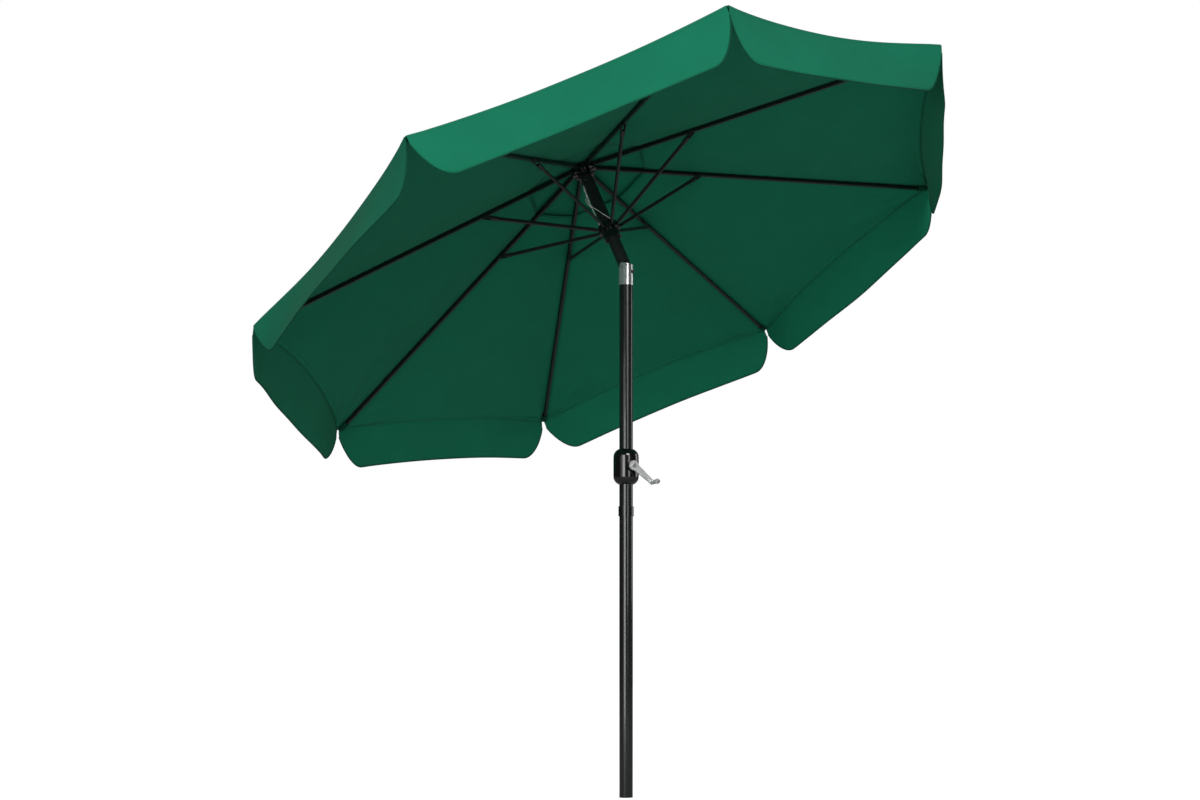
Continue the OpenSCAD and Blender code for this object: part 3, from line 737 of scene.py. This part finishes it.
def rib_pocket(n):
    """The sewn pocket that the rib's tip sits in, at the canopy's corner."""
    to_row = on_rib(n)
    # beyond the rib's tip, half width, half height, lift
    stations = [
        (-0.034, 0.0092, 0.0088, -0.0004),
        (-0.033, 0.0100, 0.0094, -0.0004),
        (-0.030, 0.0098, 0.0090, -0.0004),
        (-0.018, 0.0094, 0.0084, 0.0),
        (-0.008, 0.0090, 0.0078, 0.0006),
        (-0.001, 0.0082, 0.0070, 0.0014),
        (0.003, 0.0066, 0.0048, 0.0030),
        (0.005, 0.0040, 0.0020, 0.0048),
    ]
    sides = 24
    pts, uv = [], []
    for beyond, ry, rz, up in stations:
        x = RIB_LEN + beyond
        for k in range(sides):
            a = 2 * math.pi * k / sides
            y, z = ry * math.cos(a), rz * math.sin(a)
            z = min(z + up, CLOTH_UP - 0.0006)
            pts.append(to_row @ Vector((x, y, z)))
            uv.append((ry * a, x))
    faces = [
        (i * sides + k, i * sides + (k + 1) % sides, (i + 1) * sides + (k + 1) % sides, (i + 1) * sides + k)
        for i in range(len(stations) - 1)
        for k in range(sides)
    ]
    faces.append(tuple((len(stations) - 1) * sides + k for k in range(sides)))
    # The pocket's cloth is darkened to 0.3 of the canopy's: painted shade.
    o = make_mesh(f"rib_pocket_{n}", pts, [f[::-1] for f in faces], POCKET_PAINTED_SHADE, uv)
    return thicken(o, 0.0007, -1.0)


for n in range(1, RIBS + 1):
    g, v, f = gore(n), vent_cap(n), valance(n)
    h, t = flap_hem(n), eave_tape(n)
    for piece in (g, v, f, h, t):
        finish_panel_piece(piece, n)
    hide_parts(f"canopy_panel_{n}")
    for piece in (seam_tape(n, False), seam_tape(n, True), rib_pocket(n), vent_seam(n)):
        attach(piece, f"rib_{n}")

# ---- lift cord ----

CORD_D = 0.0034
CORD_AZ = 222  # where the cord leaves the mast, in degrees about it
MAIN = [polar(r, CORD_AZ, up) for r, up in ((22.6, 358), (25.4, 340), (27, 310), (29, 273))]
LEG_NEAR = [polar(*p) for p in ((28.2, 226, 262), (27.6, 230, 236), (28.4, 232, 206), (28.8, 233, 187))]
LEG_FAR_AT = (
    (26.8, 236, 263), (24.6, 256, 249), (24.2, 280, 232), (25, 305, 213), (28.4, 330, 195), (28.8, 338, 187),
)
LEG_FAR = [polar(*p) for p in LEG_FAR_AT]
KNOT = MAIN[-1]
CORD_TURN = math.radians(CORD_AZ)
OUTWARD = (MAST.to_3x3() @ Vector((math.cos(CORD_TURN), math.sin(CORD_TURN), 0))).normalized()
ASIDE = (MAST.to_3x3() @ Vector((-math.sin(CORD_TURN), math.cos(CORD_TURN), 0))).normalized()
UPWARD = MAST.to_3x3() @ Vector((0, 0, 1))


def strand(name, legs, phase):
    """One of the two strands that twist round each other down to the knot, and then part."""
    line = smooth_path(MAIN, 12)
    length = path_length(line)
    out, gone = [], 0.0
    for i, p in enumerate(line):
        if i:
            gone += (p - line[i - 1]).length
        turn_by = phase + 2 * math.pi * gone / 0.045
        off = 0.0015 * min(1, gone / 0.008) * min(1, (length - gone) / 0.004 + 0.5)
        out.append(p + OUTWARD * (off * math.cos(turn_by)) + ASIDE * (off * math.sin(turn_by)))
    rest = smooth_path([out[-1]] + legs, 10)
    path = out + rest[1:]
    o = tube_mesh(name, path, CORD_D / 2, MATERIAL["cord"], 12)
    return o, path


def knot_piece():
    """An overhand knot, drawn tight."""
    path = []
    steps = 96
    for i in range(steps + 1):
        a = 2 * math.pi * i / steps
        x = math.sin(a) + 2 * math.sin(2 * a)
        y = math.cos(a) - 2 * math.cos(2 * a)
        z = -math.sin(3 * a)
        path.append(KNOT + (OUTWARD * z * 0.0016) + (ASIDE * x * 0.00135) + UPWARD * y * 0.0016)
    return tube_mesh("cord_knot", path, 0.0013, MATERIAL["cord"], 10)


near, near_path = strand("lift_cord_near", LEG_NEAR, 0.0)
far, far_path = strand("lift_cord_far", LEG_FAR, math.pi)
TAIL_AT = ((29.5, CORD_AZ, 274), (33.5, 219, 281), (35.2, 214, 291), (34.6, 208, 303), (32.8, 205, 311))
tail_path = smooth_path([polar(*p) for p in TAIL_AT], 8)
BEAD_RADII = [CORD_D * 0.56, CORD_D * 0.35]
tail_radii = [CORD_D / 2] * (len(tail_path) - 2) + BEAD_RADII
tail = tube_mesh("lift_cord_tail", tail_path, tail_radii, MATERIAL["cord"], 12)
knot = knot_piece()


for piece in (near, far, tail, knot):
    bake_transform(piece)
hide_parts("lift_cord")

# ---- floor, backdrop and light ----


def by_ray(tree, camera, glossy, rest):
    """A strength that differs for what the camera sees, for reflections and for the light it gives."""
    path = tree.nodes.new("ShaderNodeLightPath")
    inner = tree.nodes.new("ShaderNodeMapRange")
    outer = tree.nodes.new("ShaderNodeMapRange")
    inner.inputs["To Min"].default_value = rest
    inner.inputs["To Max"].default_value = glossy
    outer.inputs["To Max"].default_value = camera
    tree.links.new(path.outputs["Is Glossy Ray"], inner.inputs["Value"])
    tree.links.new(path.outputs["Is Camera Ray"], outer.inputs["Value"])
    tree.links.new(inner.outputs[0], outer.inputs["To Min"])
    return outer.outputs[0]


def floor_material():
    mat = bpy.data.materials.new("pale_floor")
    mat.use_nodes = True
    bsdf = mat.node_tree.nodes["Principled BSDF"]
    bsdf.inputs["Base Color"].default_value = (0.5, 0.5, 0.5, 1)
    bsdf.inputs["Roughness"].default_value = 0.95
    bsdf.inputs["Specular IOR Level"].default_value = 0.0
    bsdf.inputs["Emission Color"].default_value = (1, 1, 1, 1)
    strength = by_ray(mat.node_tree, camera=0.95, glossy=0.02, rest=0.10)
    mat.node_tree.links.new(strength, bsdf.inputs["Emission Strength"])
    return mat


FLOOR_HALF = 14
FLOOR_Z = -0.002
corners = [(x * FLOOR_HALF, y * FLOOR_HALF, FLOOR_Z) for x, y in ((-1, -1), (1, -1), (1, 1), (-1, 1))]
floor = make_mesh("floor", corners, [(0, 1, 2, 3)], floor_material())

world = bpy.data.worlds.new("studio")
bpy.context.scene.world = world
world.use_nodes = True
backdrop = world.node_tree.nodes["Background"]
backdrop.inputs["Color"].default_value = (1, 1, 1, 1)
glow = by_ray(world.node_tree, camera=1.0, glossy=0.02, rest=0.20)
world.node_tree.links.new(glow, backdrop.inputs["Strength"])


def softbox(name, at, aim, size, watts, streak=False):
    """A rectangular light. A streak is seen only in reflections."""
    data = bpy.data.lights.new(name, "AREA")
    data.shape = "RECTANGLE"
    data.size, data.size_y = size
    data.energy = watts
    o = bpy.data.objects.new(name, data)
    bpy.context.scene.collection.objects.link(o)
    o.location = at
    o.rotation_euler = (Vector(aim) - Vector(at)).to_track_quat("-Z", "Y").to_euler()
    o.visible_diffuse = not streak
    return o


softbox("key", (5.6, -4.4, 5.2), (0, 0, 1.8), (3.2, 3.2), 275)
softbox("fill", (1.6, -6.6, 1.0), (0, 0, 1.9), (2.5, 2.5), 104)
softbox("streak_left", (-0.52, -4.97, 0.8), (0, 0, 0.8), (1.8, 3.0), 13, True)
softbox("streak_left_high", (-0.9, -4.9, 3.4), (0, 0, 3.4), (3.0, 2.4), 24, True)
softbox("streak_right", (4.41, -2.35, 2.3), (0, 0, 2.3), (1.3, 3.0), 32, True)
softbox("streak_edge", (2.8, 4.15, 2.3), (0, 0, 2.3), (2.2, 3.0), 38, True)
